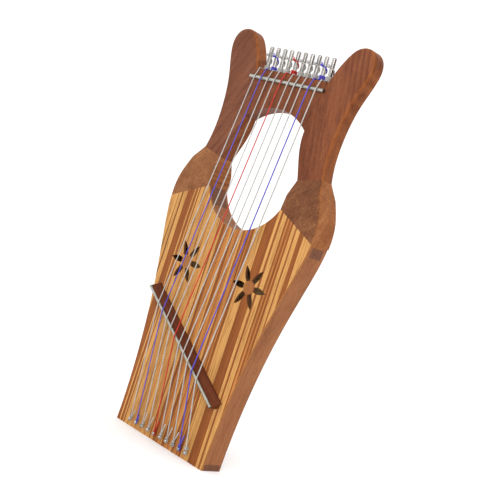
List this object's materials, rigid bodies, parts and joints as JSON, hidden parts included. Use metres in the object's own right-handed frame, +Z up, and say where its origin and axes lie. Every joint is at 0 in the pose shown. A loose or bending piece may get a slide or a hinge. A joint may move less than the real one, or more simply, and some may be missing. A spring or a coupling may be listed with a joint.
{
  "type": "lyre",
  "caption": "Hand-held wooden lyre: shallow striped sound box with petal rosettes, curved arms ending in horns, and nylon strings from hitch pins over a slanted bridge to turning pins.",
  "frame": {"origin": "centre of the flat bottom face, half way between the soundboard's face and the back's face", "axes": "+X to the right seen from the front, +Y from the soundboard to the back, +Z up along the strings towards the crossbar"},
  "size_m": [0.2172, 0.044, 0.46],
  "materials": {
    "soundboard_wood": "satin",
    "rail_wood": "satin",
    "block_wood": "satin",
    "shoulder_wood": "satin",
    "arm_wood": "satin",
    "bridge_wood": "satin",
    "brace_wood": "matte",
    "rod_metal": "satin",
    "pin_metal": "polished",
    "string_clear": "gloss",
    "string_blue": "gloss",
    "string_red": "gloss"
  },
  "bodies": {
    "lyre_body": {"soundboard": "soundboard_wood", "back_panel": "rail_wood", "side_rib_left": "rail_wood", "side_rib_right": "rail_wood", "bottom_block": "block_wood", "upper_block": "block_wood", "shoulder_left": "shoulder_wood", "shoulder_right": "shoulder_wood", "arm_left": "arm_wood", "arm_right": "arm_wood", "crossbar": "arm_wood", "nut_rod": "rod_metal", "bridge": "bridge_wood", "bridge_saddle": "rod_metal", "soundboard_brace": "brace_wood", "back_brace": "brace_wood", "hitch_pins": "pin_metal", "string_01": "string_clear", "string_02": "string_blue", "string_03": "string_clear", "string_04": "string_clear", "string_05": "string_red", "string_06": "string_clear", "string_07": "string_clear", "string_08": "string_clear", "string_09": "string_blue", "string_10": "string_clear"},
    "pin_01": {"tuning_pin_01": "pin_metal", "string_winding_01": "string_clear"},
    "pin_02": {"tuning_pin_02": "pin_metal", "string_winding_02": "string_blue"},
    "pin_03": {"tuning_pin_03": "pin_metal", "string_winding_03": "string_clear"},
    "pin_04": {"tuning_pin_04": "pin_metal", "string_winding_04": "string_clear"},
    "pin_05": {"tuning_pin_05": "pin_metal", "string_winding_05": "string_red"},
    "pin_06": {"tuning_pin_06": "pin_metal", "string_winding_06": "string_clear"},
    "pin_07": {"tuning_pin_07": "pin_metal", "string_winding_07": "string_clear"},
    "pin_08": {"tuning_pin_08": "pin_metal", "string_winding_08": "string_clear"},
    "pin_09": {"tuning_pin_09": "pin_metal", "string_winding_09": "string_blue"},
    "pin_10": {"tuning_pin_10": "pin_metal", "string_winding_10": "string_clear"}
  },
  "joints": [
    {"name": "pin_01_turn", "type": "hinge", "parent": "lyre_body", "child": "pin_01", "pos_m": [-0.04495, 0, 0.418], "axis": [0, -0.1184, 0.993], "range_deg": [-1260, 90]},
    {"name": "pin_02_turn", "type": "hinge", "parent": "lyre_body", "child": "pin_02", "pos_m": [-0.03485, 0, 0.418], "axis": [0, -0.1184, 0.993], "range_deg": [-1260, 90]},
    {"name": "pin_03_turn", "type": "hinge", "parent": "lyre_body", "child": "pin_03", "pos_m": [-0.02475, 0, 0.418], "axis": [0, -0.1184, 0.993], "range_deg": [-1260, 90]},
    {"name": "pin_04_turn", "type": "hinge", "parent": "lyre_body", "child": "pin_04", "pos_m": [-0.01465, 0, 0.418], "axis": [0, -0.1184, 0.993], "range_deg": [-1260, 90]},
    {"name": "pin_05_turn", "type": "hinge", "parent": "lyre_body", "child": "pin_05", "pos_m": [-0.00455, 0, 0.418], "axis": [0, -0.1184, 0.993], "range_deg": [-1260, 90]},
    {"name": "pin_06_turn", "type": "hinge", "parent": "lyre_body", "child": "pin_06", "pos_m": [0.00555, 0, 0.418], "axis": [0, -0.1184, 0.993], "range_deg": [-1260, 90]},
    {"name": "pin_07_turn", "type": "hinge", "parent": "lyre_body", "child": "pin_07", "pos_m": [0.01565, 0, 0.418], "axis": [0, -0.1184, 0.993], "range_deg": [-1260, 90]},
    {"name": "pin_08_turn", "type": "hinge", "parent": "lyre_body", "child": "pin_08", "pos_m": [0.02575, 0, 0.418], "axis": [0, -0.1184, 0.993], "range_deg": [-1260, 90]},
    {"name": "pin_09_turn", "type": "hinge", "parent": "lyre_body", "child": "pin_09", "pos_m": [0.03585, 0, 0.418], "axis": [0, -0.1184, 0.993], "range_deg": [-1260, 90]},
    {"name": "pin_10_turn", "type": "hinge", "parent": "lyre_body", "child": "pin_10", "pos_m": [0.04595, 0, 0.418], "axis": [0, -0.1184, 0.993], "range_deg": [-1260, 90]}
  ]
}
